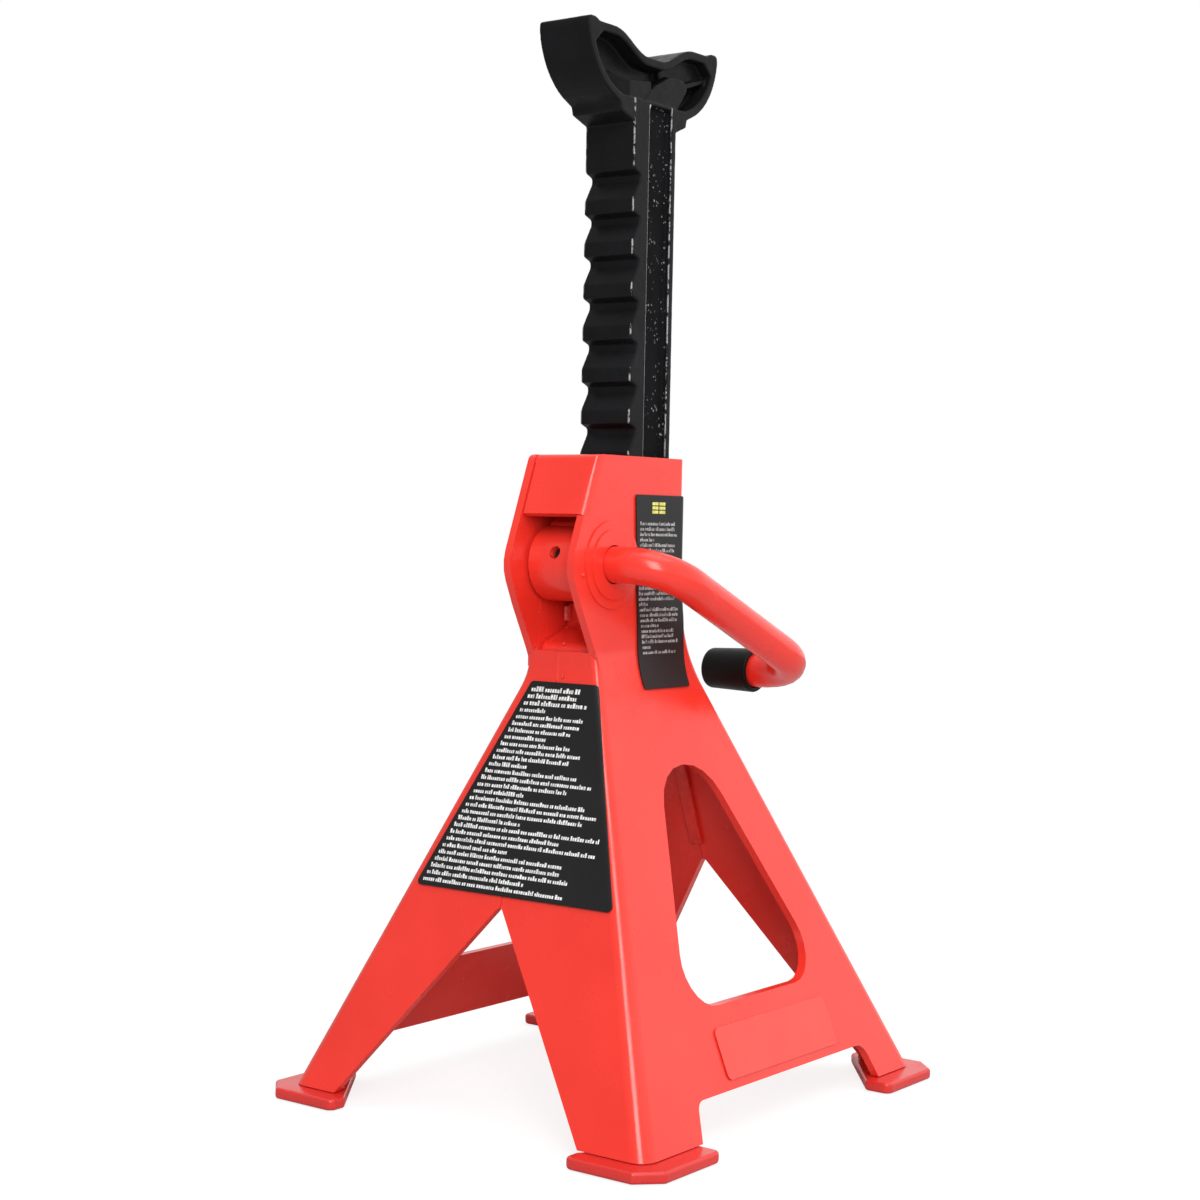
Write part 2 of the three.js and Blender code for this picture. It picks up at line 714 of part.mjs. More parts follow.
// Ring of the rod at distance reach along the lever and offset y, facing along (dReach, dY).
function rodRing(reach, y, dReach, dY, radius) {
  const centre = PIVOT.clone().addScaledVector(leverDir, reach).setY(y);
  const along = leverDir.clone().multiplyScalar(dReach).addScaledVector(axisDir, dY).normalize();
  const side = new THREE.Vector3().crossVectors(along, planeNormal);
  const ring = [];
  for (let k = 0; k < 24; k += 1) {
    const angle = radians(15 * k);
    ring.push(centre.clone()
      .addScaledVector(planeNormal, radius * Math.cos(angle))
      .addScaledVector(side, radius * Math.sin(angle)));
  }
  return ring;
}

// Rings round a bend of a quarter turn; centre and start angle are in the handle's plane.
function bendRings(reach, y, bend, fromDegrees) {
  const rings = [];
  for (let k = 0; k <= 9; k += 1) {
    const angle = radians(fromDegrees + 10 * k);
    const c = Math.cos(angle);
    const s = Math.sin(angle);
    rings.push(rodRing(reach + bend * c, y + bend * s, -s, c, ROD_RADIUS));
  }
  return rings;
}

const CLIP_Y = NECK_HALF + 4.6; // middle of the retaining clip
const CLIP_HALF = 0.6;
const GROOVE_RADIUS = ROD_RADIUS - 0.9;
const rodEnd = GRIP_TIP - 1.7;
const straightRings = [
  [ROD_REAR, ROD_RADIUS - 1],
  [ROD_REAR - 1, ROD_RADIUS],
  [CLIP_Y + CLIP_HALF + 0.15, ROD_RADIUS],
  [CLIP_Y + CLIP_HALF + 0.14, GROOVE_RADIUS],
  [CLIP_Y - CLIP_HALF - 0.14, GROOVE_RADIUS],
  [CLIP_Y - CLIP_HALF - 0.15, ROD_RADIUS],
].map(([y, radius]) => rodRing(0, y, 0, -1, radius));
const endRings = [
  [rodEnd - 1, ROD_RADIUS],
  [rodEnd, ROD_RADIUS - 1],
].map(([y, radius]) => rodRing(LEVER_LENGTH, y, 0, 1, radius));
const rod = loft([
  ...straightRings,
  ...bendRings(NEAR_BEND, LEVER_Y + NEAR_BEND, NEAR_BEND, 180),
  ...bendRings(LEVER_LENGTH - FAR_BEND, LEVER_Y + FAR_BEND, FAR_BEND, 270),
  ...endRings,
]);
addNode('handle_rod', rod.subtract(pinHole), finish.redPaint);

// Dipped grip cap over the rod's end, closed at its tip.
const gripProfile = [
  [0, GRIP_TIP],
  [6.6, GRIP_TIP],
  [7.5, GRIP_TIP - 0.5],
  [7.9, GRIP_TIP - 1.6],
  [8.55, GRIP_OPEN + 1],
  [8.2, GRIP_OPEN],
  [ROD_RADIUS + 0.35, GRIP_OPEN],
  [ROD_RADIUS + 0.35, rodEnd + 0.35],
  [0, rodEnd + 0.35],
].map(([r, y]) => new THREE.Vector2(r, y)).reverse();
const gripCentre = PIVOT.clone().addScaledVector(leverDir, LEVER_LENGTH);
const grip = new THREE.LatheGeometry(gripProfile, 36).translate(gripCentre.x, 0, gripCentre.z);
addNode('grip_cap', toSolid(grip), finish.blackRubber);

// Washer and retaining clip behind the rear cheek.
const washerY = NECK_HALF + 1.2 + GAP;
const washer = pivotDisc(12, washerY, washerY + 1.8).subtract(pivotDisc(6.9, 0, 40));
addNode('rod_washer', washer, finish.steel);

const clipMouth = box(PIVOT.x - 3.6, PIVOT.x + 3.6, 0, 40, PIVOT.z - 20, PIVOT.z);
const clip = pivotDisc(9.6, CLIP_Y - CLIP_HALF, CLIP_Y + CLIP_HALF)
  .subtract(pivotDisc(GROOVE_RADIUS + GAP, 0, 40))
  .subtract(clipMouth);
addNode('retaining_clip', clip, finish.steel);

// ---- Labels and film, blank ----

const skinAll = baseLayer(-GAP - SKIN, -GAP, 10, 225);

const mainLabelArea = rounded([
  [42.5, 77, 1.5],
  [12, 150, 1.5],
  [-16.8, 150, 1.5],
  [-44.5, 77, 1.5],
]);
const mainLabel = skinAll.intersect(prismX(mainLabelArea, -100, -33));
addNode('main_label', mainLabel, finish.blackLabel);

const sideLabelArea = rounded([
  [-13.5, 217, 1],
  [16.6, 217, 1],
  [18.4, 147.4, 1],
  [-9.8, 147.4, 1],
]);
const sideLabel = skinAll
  .intersect(prismY(sideLabelArea, -60, -10))
  .subtract(pivotDisc(15.6 + GAP, -40, 0));
addNode('side_label', sideLabel, finish.blackLabel);

const filmArea = rounded([[-30.5, 19.5, 2], [40.6, 19.5, 2], [40.6, 36, 2], [-30.5, 36, 2]]);
const film = skinAll.intersect(prismY(filmArea, -90, -10));
addNode('crossbar_film', film, finish.clearFilm);

export default stand;
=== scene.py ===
# Looks of the ratchet axle jack stand. Metres, +Z up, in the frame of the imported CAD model.
import math
import random

import bmesh
import bpy
from mathutils import Matrix, Vector
from mathutils.bvhtree import BVHTree


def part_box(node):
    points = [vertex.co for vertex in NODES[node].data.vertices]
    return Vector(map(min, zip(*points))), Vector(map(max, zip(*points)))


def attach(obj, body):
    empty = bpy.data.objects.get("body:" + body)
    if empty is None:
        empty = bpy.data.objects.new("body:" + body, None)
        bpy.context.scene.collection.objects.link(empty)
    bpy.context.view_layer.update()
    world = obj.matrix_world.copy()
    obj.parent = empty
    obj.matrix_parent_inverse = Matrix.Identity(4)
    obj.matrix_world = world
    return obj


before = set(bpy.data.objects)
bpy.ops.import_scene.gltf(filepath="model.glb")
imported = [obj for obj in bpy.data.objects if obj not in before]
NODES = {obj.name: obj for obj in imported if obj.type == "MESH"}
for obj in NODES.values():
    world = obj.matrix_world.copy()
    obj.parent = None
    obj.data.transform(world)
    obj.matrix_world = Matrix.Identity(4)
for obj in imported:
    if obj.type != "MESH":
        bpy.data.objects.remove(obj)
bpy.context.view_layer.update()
MM = 0.001

# ---- Camera: where it stands, where it looks, and its lens ----

CAMERA_PLACE = Vector((-636.5, -466.7, 204.3)) * MM
CAMERA_YAW = 0.9288  # radians from +Y towards +X
CAMERA_PITCH = -0.0327
CAMERA_ROLL = 0.02
CAMERA_LENS = 64.78

# ---- Materials ----


def new_material(name, color, roughness, metallic=0.0, specular=0.5):
    material = bpy.data.materials.new(name)
    material.use_nodes = True
    shader = material.node_tree.nodes["Principled BSDF"]
    shader.inputs["Base Color"].default_value = (*color, 1.0)
    shader.inputs["Roughness"].default_value = roughness
    shader.inputs["Metallic"].default_value = metallic
    shader.inputs["Specular IOR Level"].default_value = specular
    return material


def node(material, kind, **inputs):
    made = material.node_tree.nodes.new(kind)
    for key, value in inputs.items():
        made.inputs[key.replace("_", " ")].default_value = value
    return made


def link(material, source, target):
    material.node_tree.links.new(source, target)


def place_of(material):
    """Position on the piece in metres: the CAD frame at rest, and it rides with the piece."""
    coordinates = node(material, "ShaderNodeTexCoord")
    return coordinates.outputs["Object"]


def noise(material, scale, detail=3.0, roughness=0.5):
    texture = node(material, "ShaderNodeTexNoise", Scale=scale, Detail=detail, Roughness=roughness)
    link(material, place_of(material), texture.inputs["Vector"])
    return texture.outputs["Fac"]


def ramp(material, factor, stops):
    """Color ramp with two stops, each (position, color)."""
    made = node(material, "ShaderNodeValToRGB")
    for element, (position, value) in zip(made.color_ramp.elements, stops):
        element.position = position
        element.color = (*value, 1.0)
    link(material, factor, made.inputs["Fac"])
    return made.outputs["Color"]


def grey(value):
    return (value, value, value)


def maths(material, operation, first, second):
    made = node(material, "ShaderNodeMath")
    made.operation = operation
    for socket, value in zip(made.inputs, (first, second)):
        if isinstance(value, (int, float)):
            socket.default_value = value
        else:
            link(material, value, socket)
    return made.outputs["Value"]


def add_bumps(material, layers):
    """Layers of bump, each (height, distance in metres, strength)."""
    normal = None
    for height, distance, strength in layers:
        bump = node(material, "ShaderNodeBump", Distance=distance, Strength=strength)
        link(material, height, bump.inputs["Height"])
        if normal:
            link(material, normal, bump.inputs["Normal"])
        normal = bump.outputs["Normal"]
    shader = material.node_tree.nodes["Principled BSDF"]
    link(material, normal, shader.inputs["Normal"])


def drive(material, socket, source):
    link(material, source, material.node_tree.nodes["Principled BSDF"].inputs[socket])


def red_paint(name, low, high):
    """Gloss red powder coat that drifts between two shades, with a faint orange peel."""
    material = new_material(name, high, 0.24)
    tint = ramp(material, noise(material, 22, 2), [(0.3, low), (0.7, high)])
    drive(material, "Base Color", tint)
    gloss = ramp(material, noise(material, 90, 3), [(0.35, grey(0.17)), (0.7, grey(0.3))])
    drive(material, "Roughness", gloss)
    add_bumps(material, [
        (noise(material, 420, 2), 0.00008, 0.3),
        (noise(material, 45, 2), 0.0009, 0.25),
    ])
    return material


def red_weld():
    """The same paint over a rough bead."""
    material = new_material("red_weld_paint", (0.8, 0.038, 0.025), 0.3)
    tint = ramp(material, noise(material, 160, 2), [
        (0.3, (0.68, 0.028, 0.018)),
        (0.7, (0.86, 0.046, 0.03)),
    ])
    drive(material, "Base Color", tint)
    add_bumps(material, [(noise(material, 900, 3), 0.0004, 0.5)])
    return material


def between(material, value, low, high):
    """1 where a coordinate lies between two values in millimetres, else 0."""
    above = maths(material, "GREATER_THAN", value, low * MM)
    below = maths(material, "LESS_THAN", value, high * MM)
    return maths(material, "MULTIPLY", above, below)


# Regions of the post in millimetres. Depth is the distance from its middle plane.
WEB_X = (-2.5, 11.0)
WEB_DEPTH = (8, 10.0)
SHANK_Z = (0, 357)  # below the saddle
FACE_DEPTH = (10.4, 12)  # outer faces of the flanges
FACE_Z = (0, 366)
INNER_LIP_X = (-3.0, -2.2)
BACK_LIP_X = (10.6, 11.3)
FRONT_EDGE_X = (-12.4, -11.4)


def black_casting():
    """Satin black over cast iron: pimply down in the web, glossy where paint builds up on edges,
    and lighter in base colour along those edge lines and on the pimples as painted highlights.
    """
    material = new_material("black_cast_paint", (0.009, 0.009, 0.01), 0.34, specular=0.08)
    axis = node(material, "ShaderNodeSeparateXYZ")
    link(material, place_of(material), axis.inputs["Vector"])
    x, z = axis.outputs["X"], axis.outputs["Z"]
    depth = maths(material, "ABSOLUTE", axis.outputs["Y"], 0.0)
    shank = between(material, z, *SHANK_Z)

    web = maths(material, "MULTIPLY", between(material, depth, *WEB_DEPTH),
                between(material, x, *WEB_X))
    web = maths(material, "MULTIPLY", web, shank)
    cells = node(material, "ShaderNodeTexVoronoi", Scale=560.0)
    link(material, place_of(material), cells.inputs["Vector"])
    pimples = ramp(material, cells.outputs["Distance"], [(0.16, grey(1.0)), (0.34, grey(0.0))])
    patches = ramp(material, noise(material, 200, 2), [(0.47, grey(0.0)), (0.58, grey(1.0))])
    pimples = maths(material, "MULTIPLY", maths(material, "MULTIPLY", pimples, patches), web)

    face = maths(material, "MULTIPLY", between(material, depth, *FACE_DEPTH),
                 between(material, z, *FACE_Z))
    dashes = ramp(material, noise(material, 420, 3, 0.6), [(0.44, grey(0.0)), (0.54, grey(1.0))])
    broken_lips = maths(material, "ADD", between(material, x, *BACK_LIP_X),
                        between(material, x, *FRONT_EDGE_X))
    inner_lip = maths(material, "MULTIPLY", between(material, x, *INNER_LIP_X), shank)
    lips = maths(material, "ADD", inner_lip, maths(material, "MULTIPLY", broken_lips, dashes))
    lips = maths(material, "MULTIPLY", lips, face)

    tint = ramp(material, noise(material, 60, 4), [
        (0.3, (0.0065, 0.0065, 0.007)),
        (0.75, (0.011, 0.011, 0.0125)),
    ])
    shine = maths(material, "MAXIMUM", lips, pimples)
    tint_and_painted_highlights = node(material, "ShaderNodeVectorMath")
    tint_and_painted_highlights.operation = "ADD"
    link(material, tint, tint_and_painted_highlights.inputs[0])
    # Painted highlight: the base colour is lifted along the flange's inner edge line, on the broken
    # edge dashes and on the pimples, in place of the glints of light on them.
    painted_highlight = maths(material, "MULTIPLY", maths(material, "MULTIPLY", inner_lip, face), 0.3)
    painted_highlight = maths(material, "ADD", painted_highlight, maths(material, "MULTIPLY", shine, 0.2))
    link(material, painted_highlight, tint_and_painted_highlights.inputs[1])
    drive(material, "Base Color", tint_and_painted_highlights.outputs["Vector"])
    gloss = ramp(material, noise(material, 240, 3), [(0.3, grey(0.26)), (0.75, grey(0.42))])
    drive(material, "Roughness",
          maths(material, "SUBTRACT", gloss, maths(material, "MULTIPLY", shine, 0.16)))
    dull = maths(material, "SUBTRACT", 0.08, maths(material, "MULTIPLY", web, 0.07))
    drive(material, "Specular IOR Level",
          maths(material, "ADD", maths(material, "MULTIPLY", shine, 0.9), dull))
    add_bumps(material, [
        (noise(material, 600, 3, 0.5), 0.00012, 0.3),
        (pimples, 0.0008, 1.0),
        (noise(material, 70, 2), 0.001, 0.2),
    ])
    return material


def bare_steel(name, shade):
    """Metal with a faint grain."""
    material = new_material(name, shade, 0.3, metallic=1.0)
    gloss = ramp(material, noise(material, 260, 3), [(0.3, grey(0.24)), (0.75, grey(0.46))])
    drive(material, "Roughness", gloss)
    add_bumps(material, [(noise(material, 900, 3), 0.0001, 0.3)])
    return material


def dipped_grip():
    """Soft black plastic, duller than the paint."""
    material = new_material("black_dipped_grip", (0.0055, 0.0055, 0.0055), 0.4, specular=0.14)
    gloss = ramp(material, noise(material, 120, 2), [(0.3, grey(0.32)), (0.75, grey(0.46))])
    drive(material, "Roughness", gloss)
    add_bumps(material, [
        (noise(material, 1400, 2), 0.00008, 0.3),
        (noise(material, 70, 2), 0.0008, 0.25),
    ])
    return material


def label_film():
    """Black film of the two labels, slightly wavy."""
    material = new_material("black_label_film", (0.011, 0.01, 0.01), 0.34, specular=0.3)
    tint = ramp(material, noise(material, 35, 2), [
        (0.3, (0.009, 0.0085, 0.0085)),
        (0.75, (0.013, 0.012, 0.012)),
    ])
    drive(material, "Base Color", tint)
    add_bumps(material, [(noise(material, 55, 2), 0.0005, 0.25)])
    return material


def clear_film():
    """Clear film, so the red paint shows through it a little lighter and glossier."""
    material = new_material("clear_film", (0.84, 0.05, 0.034), 0.16)
    tint = ramp(material, noise(material, 60, 2), [
        (0.3, (0.83, 0.05, 0.033)),
        (0.75, (0.87, 0.058, 0.04)),
    ])
    drive(material, "Base Color", tint)
    add_bumps(material, [(noise(material, 120, 2), 0.0003, 0.15)])
    return material


def printed(name, dark, light):
    """Light ink with a grain of wear."""
    material = new_material(name, grey(light), 0.5)
    tint = ramp(material, noise(material, 900, 2), [(0.35, grey(dark)), (0.6, grey(light))])
    drive(material, "Base Color", tint)
    return material


def yellow_print():
    material = new_material("yellow_print", (0.78, 0.75, 0.16), 0.5)
    tint = ramp(material, noise(material, 700, 2), [
        (0.3, (0.62, 0.6, 0.1)),
        (0.7, (0.85, 0.83, 0.25)),
    ])
    drive(material, "Base Color", tint)
    return material


RED = red_paint("red_powder_coat", (0.81, 0.032, 0.019), (0.89, 0.041, 0.026))
# Painted shade: a darker copy of the red paint, for the foot plates that sit low at the floor.
SHADED_RED = red_paint("red_powder_coat_painted_shade", (0.6, 0.022, 0.018), (0.7, 0.03, 0.024))
WELD = red_weld()
BLACK = black_casting()
STEEL = bare_steel("zinc_plated_steel", (0.62, 0.61, 0.58))
# Dark metal for the spring pin in the hub, much darker than the plated fittings.
DARK_STEEL = bare_steel("dark_pin_steel", (0.1, 0.095, 0.09))
GRIP = dipped_grip()
LABEL = label_film()
FILM = clear_film()
WHITE_PRINT = printed("white_print", 0.55, 0.9)
GREY_PRINT = printed("grey_print", 0.16, 0.52)
YELLOW = yellow_print()

# ---- CAD nodes: finish and softened edges ----


def paint(name, material):
    mesh = NODES[name].data
    mesh.materials.clear()
    mesh.materials.append(material)


def smooth_faces(mesh):
    mesh.polygons.foreach_set("use_smooth", [True] * len(mesh.polygons))


def merge_faces(piece):
    """Joins the split vertices of an imported mesh and the triangles of each flat face."""
    weld = piece.modifiers.new("weld", "WELD")
    weld.merge_threshold = 2e-6
    flat = piece.modifiers.new("flat_faces", "DECIMATE")
    flat.decimate_type = "DISSOLVE"
    flat.angle_limit = math.radians(0.4)


def soften_edges(name, width, segments=3, angle=32):
    piece = NODES[name]
    smooth_faces(piece.data)
    merge_faces(piece)
    bevel = piece.modifiers.new("soft_edges", "BEVEL")
    bevel.width = width
    bevel.segments = segments
    bevel.limit_method = "ANGLE"
    bevel.angle_limit = math.radians(angle)
    bevel.miter_outer = "MITER_ARC"
    bevel.harden_normals = False
    normals = piece.modifiers.new("face_normals", "WEIGHTED_NORMAL")
    normals.keep_sharp = False
    normals.weight = 60


def cast_skin(name, voxel, rounds, swell):
    """Rounds every edge and corner of a node as a casting has them, with a slightly uneven skin."""
    piece = NODES[name]
    smooth_faces(piece.data)
    remesh = piece.modifiers.new("cast_remesh", "REMESH")
    remesh.mode = "VOXEL"
    remesh.voxel_size = voxel
    remesh.use_smooth_shade = True
    smooth = piece.modifiers.new("cast_smooth", "SMOOTH")
    smooth.factor = 0.5
    smooth.iterations = rounds
    texture = bpy.data.textures.new(name + "_skin", "CLOUDS")
    texture.noise_scale = 0.0035
    uneven = piece.modifiers.new("cast_skin", "DISPLACE")
    uneven.texture = texture
    uneven.texture_coords = "LOCAL"
    uneven.strength = swell
    uneven.mid_level = 0.5


def lay_weld(name):
    paint(name, WELD)
    cast_skin(name, 0.35 * MM, 3, 0.5 * MM)


for half in ("front_half_frame", "rear_half_frame"):
    paint(half, RED)
    soften_edges(half, 0.85 * MM)

for place in ("front_left", "front_right", "rear_left", "rear_right"):
    # The foot plates take the darker copy of the red paint as painted shade.
    paint("foot_plate_" + place, SHADED_RED)
    soften_edges("foot_plate_" + place, 1.1 * MM)
    lay_weld("foot_weld_" + place)

for weld in ("seam_weld_left", "seam_weld_right", "guide_weld_rear", "guide_weld_front"):
    lay_weld(weld)

paint("post_guide_plate", RED)
soften_edges("post_guide_plate", 0.5 * MM, segments=2)
paint("ratchet_post", BLACK)
cast_skin("ratchet_post", (0.4) * MM, 3, 0.12 * MM)
paint("pawl", RED)
soften_edges("pawl", 0.7 * MM)
paint("handle_rod", RED)
soften_edges("handle_rod", 0.4 * MM, segments=2, angle=40)
paint("grip_cap", GRIP)
soften_edges("grip_cap", 0.5 * MM, angle=25)
for fitting in ("spring_pin", "rod_washer", "retaining_clip"):
    paint(fitting, DARK_STEEL if fitting == "spring_pin" else STEEL)
    soften_edges(fitting, 0.2 * MM, segments=2)
for label in ("main_label", "side_label"):
    paint(label, LABEL)
    soften_edges(label, 0.1 * MM, segments=2)
paint("crossbar_film", FILM)
soften_edges("crossbar_film", 0.19 * MM)

# ---- Print on the labels: rows of plain blocks, no lettering ----

PRINT_LIFT = 0.06 * MM  # how far the print stands above the label


class Surface:
    """Finds where a line along an axis first meets the outer face of a CAD node."""

    def __init__(self, name, direction):
        mesh = NODES[name].data
        mesh.calc_loop_triangles()
        points = [v.co.copy() for v in mesh.vertices]
        triangles = [tuple(t.vertices) for t in mesh.loop_triangles]
        self.tree = BVHTree.FromPolygons(points, triangles)
        self.direction = Vector(direction)

    def at(self, first, second):
        """Point on the face; first and second are the two other coordinates in order."""
        along_x = abs(self.direction.x) > 0.5
        start = Vector((0, first, second)) if along_x else Vector((first, 0, second))
        start -= self.direction
        hit = self.tree.ray_cast(start, self.direction)[0]
        if hit is None:
            return None
        return hit - self.direction * PRINT_LIFT


def add_bar(mesh, surface, start, end, level, height):
    """A block from start to end, centred on a level and laid on the surface."""
    corners = []
    for across in (start, end):
        low = surface.at(across, level - height / 2)
        high = surface.at(across, level + height / 2)
        if low is None or high is None:
            return
        corners += [mesh.verts.new(low), mesh.verts.new(high)]
    a, b, c, d = corners
    mesh.faces.new((a, c, d, b))


def finish_piece(name, mesh, material):
    """Makes an object of the mesh that rides on the base."""
    mesh.normal_update()
    data = bpy.data.meshes.new(name)
    mesh.to_mesh(data)
    mesh.free()
    piece = bpy.data.objects.new(name, data)
    bpy.context.scene.collection.objects.link(piece)
    data.materials.append(material)
    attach(piece, "frame")


SHORTEST_GAP = 0.6 * MM  # a row stops when less than this is left


def block_rows(mesh, surface, rows, rng):
    """Rows of small blocks in groups. Each row is (start, end, baseline, height)."""
    for start, end, baseline, height in rows:
        way = 1 if end > start else -1
        here = start
        left_in_group = rng.randint(2, 9)
        while (end - here) * way > SHORTEST_GAP:
            width = rng.uniform(0.34, 0.62) * height
            tall = height * rng.choice((0.66, 0.66, 0.72, 1.0))
            level = baseline + tall / 2
            add_bar(mesh, surface, here, here + way * width, level, tall)
            here += way * (width + 0.15 * height)
            left_in_group -= 1
            if left_in_group == 0:
                here += way * 0.32 * height
                left_in_group = rng.randint(2, 10)


# Millimetres. The large label widens downwards: an edge has its distance from the middle plane at
# the label's top, how much further out it is at the bottom, and a margin.
MAIN_ROWS = 29
MAIN_PITCH = 2.42
MAIN_FIRST_ROW = 3.6  # below the label's top
LARGE_ROWS = 3  # rows in a larger size at the top
LEFT_EDGE, LEFT_SPREAD, LEFT_MARGIN = 12, 30.5, 2.4
RIGHT_EDGE, RIGHT_SPREAD, RIGHT_MARGIN = 16.8, 27.7, 2.6

SIDE_ROWS = 25
SIDE_PITCH = 1.93
SIDE_FIRST_ROW = 10.9
SIDE_ROW_HEIGHT = 1.3
SIDE_MARGIN = 2.6
SIDE_WIDTH = 24
SLOPE_ROW, SLOPE_SHIFT = 14, 0.32  # rows past this one step along with the label's lower end
MARK_COLUMNS = (9.8, 14.1)
MARK_ROWS = (6.1, 4.6, 3.1)
MARK_WIDTH, MARK_HEIGHT = 3.7, 1.1


def row_fill(rng, k, short, long):
    """How far a row reaches: every fourth one is the short end of a paragraph."""
    return rng.uniform(*(short if k % 4 == 3 else long))


def main_label_print():
    low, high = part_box("main_label")
    surface = Surface("main_label", (1, 0, 0))
    rng = random.Random(7)
    mesh = bmesh.new()
    rows = []
    for k in range(MAIN_ROWS):
        level = high.z - MAIN_FIRST_ROW * MM - k * (MAIN_PITCH * MM)
        share = (high.z - level) / (high.z - low.z)
        left = (LEFT_EDGE + LEFT_SPREAD * share) * MM - LEFT_MARGIN * MM
        right = -(RIGHT_EDGE + RIGHT_SPREAD * share) * MM + RIGHT_MARGIN * MM
        fill = row_fill(rng, k, (0.35, 0.6), (0.72, 1.0))
        height = (1.75 if k < LARGE_ROWS else 1.5) * MM
        rows.append((left, left + (right - left) * fill, level, height))
    block_rows(mesh, surface, rows, rng)
    finish_piece("main_label_print", mesh, WHITE_PRINT)


def side_label_print():
    low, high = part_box("side_label")
    surface = Surface("side_label", (0, 1, 0))
    rng = random.Random(11)
    mesh = bmesh.new()
    rows = []
    for k in range(SIDE_ROWS):
        level = high.z - SIDE_FIRST_ROW * MM - k * (SIDE_PITCH * MM)
        fill = row_fill(rng, k, (0.2, 0.6), (0.82, 1.0))
        start = low.x + (SIDE_MARGIN + SLOPE_SHIFT * max(0, k - SLOPE_ROW)) * MM
        rows.append((start, start + SIDE_WIDTH * MM * fill, level, SIDE_ROW_HEIGHT * MM))
    block_rows(mesh, surface, rows, rng)
    finish_piece("side_label_print", mesh, GREY_PRINT)
    mark = bmesh.new()
    for offset in MARK_COLUMNS:
        start = low.x + offset * MM
        end = start + MARK_WIDTH * MM
        for below_top in MARK_ROWS:
            add_bar(mark, surface, start, end, high.z - below_top * MM, MARK_HEIGHT * MM)
    finish_piece("side_label_mark", mark, YELLOW)


main_label_print()
side_label_print()

# ---- Weld spatter, paint nibs and filled seams ----

# Millimetres, but for the skew: y of the seam between the halves per unit of x.
SEAM_SKEW = -0.048
SEAM_AT = 30  # distance from the middle at which the skew of either seam is taken
SEAM_PROBE = 0.8  # how far beside the seam the wall is felt, on the front half
SEAM_STEP = 1.5  # between two sections of a filled seam
SEAM_SECTION = ((0.7, -0.15), (0.35, 0.1), (0, 0.16), (-0.35, 0.1), (-0.7, -0.15))  # across, out

# Millimetres: drops with a place and a radius, then beads with their points and a radius.
NECK_DROPS = (
    (-46.6, -15.3, 197.0, 0.45),
    (-43.1, -15.5, 188.4, 0.75),
    (-40.9, -15.5, 190.2, 0.5),
    (-39.2, -15.5, 191.9, 0.35),
    (-37.0, -15.5, 184.0, 0.35),
    (-17.1, 11.0, 168.4, 0.8),
    (-30.0, 2.3, 163.4, 0.75),
)
NECK_RUNS = (
    ([(-17.0, 5.8, 168.6), (-18.6, 2.2, 167.9), (-23.0, -2.8, 166.1), (-28.9, -8.0, 163.7)], 0.55),
    ([(-33.8, 11.8, 161.2), (-33.9, 14.4, 160.9)], 0.5),
    ([(-34.1, -12.4, 161.1), (-34.1, -14.8, 159.9)], 0.5),
    ([(-34.5, -0.9, 154.4), (-35.4, -1.5, 151.9)], 0.4),
    ([(-33.2, -15.4, 154.2), (-29.6, -15.5, 153.9)], 0.35),
)


def add_nib(mesh, centre, radius):
    place = Matrix.Translation(Vector(centre) * MM)
    bmesh.ops.create_icosphere(mesh, subdivisions=2, radius=radius * MM, matrix=place)


def add_run(mesh, points, radius):
    """Bead of overlapping drops through a list of points, in millimetres."""
    for start, end in zip(points, points[1:]):
        start, end = Vector(start), Vector(end)
        steps = max(1, round((end - start).length / (0.9 * radius)))
        for k in range(steps + 1):
            add_nib(mesh, start.lerp(end, k / steps), radius)


def smooth_piece(name, mesh, material):
    for face in mesh.faces:
        face.smooth = True
    finish_piece(name, mesh, material)


def neck_nibs():
    mesh = bmesh.new()
    for *centre, radius in NECK_DROPS:
        add_nib(mesh, centre, radius)
    for points, radius in NECK_RUNS:
        add_run(mesh, points, radius)
    smooth_piece("weld_spatter", mesh, WELD)


def seam_fill(name, direction, low, high):
    """Paint-filled seam between the halves, from one height to another, felt from one side."""
    surface = Surface("front_half_frame", direction)
    outward = -direction[0]
    mesh = bmesh.new()
    ring = None
    steps = round((high - low) / SEAM_STEP)
    for k in range(steps + 1):
        z = low + (high - low) * k / steps
        beside = surface.at(SEAM_SKEW * SEAM_AT * MM * outward - SEAM_PROBE * MM, z * MM)
        if beside.x * outward < 0:
            continue  # below the arch, where only the far wall is met
        middle = SEAM_SKEW * beside.x
        fresh = [
            mesh.verts.new((beside.x + outward * out * MM, middle + across * MM, beside.z))
            for across, out in SEAM_SECTION
        ]
        if ring:
            for i in range(len(SEAM_SECTION) - 1):
                mesh.faces.new((ring[i], ring[i + 1], fresh[i + 1], fresh[i]))
        ring = fresh
    smooth_piece(name, mesh, RED)


neck_nibs()
seam_fill("seam_fill_left", (1, 0, 0), low=150.6, high=160.6)
seam_fill("seam_fill_right", (-1, 0, 0), low=80.5, high=223.5)

# ---- Floor, light and camera ----

FLOOR_DROP = 0.3 * MM  # below the feet
FLOOR_RADIUS = 9
FLOOR_WHITE = 0.75  # share of plain white in what the camera sees, the rest takes shadow
FLOOR_GLOW = 1.08
LAMP_CENTRE = Vector((0, 0, 0.19))
BRIGHT_WAY = (0.78, -0.6, 0.2)  # the way to the brightest part of the room
ROOM_DIM, ROOM_BRIGHT = 0.42, 1.18  # strengths at the two ends of the range below
ROOM_RANGE = (-0.8, 0.9)  # cosine of the angle to the brightest way


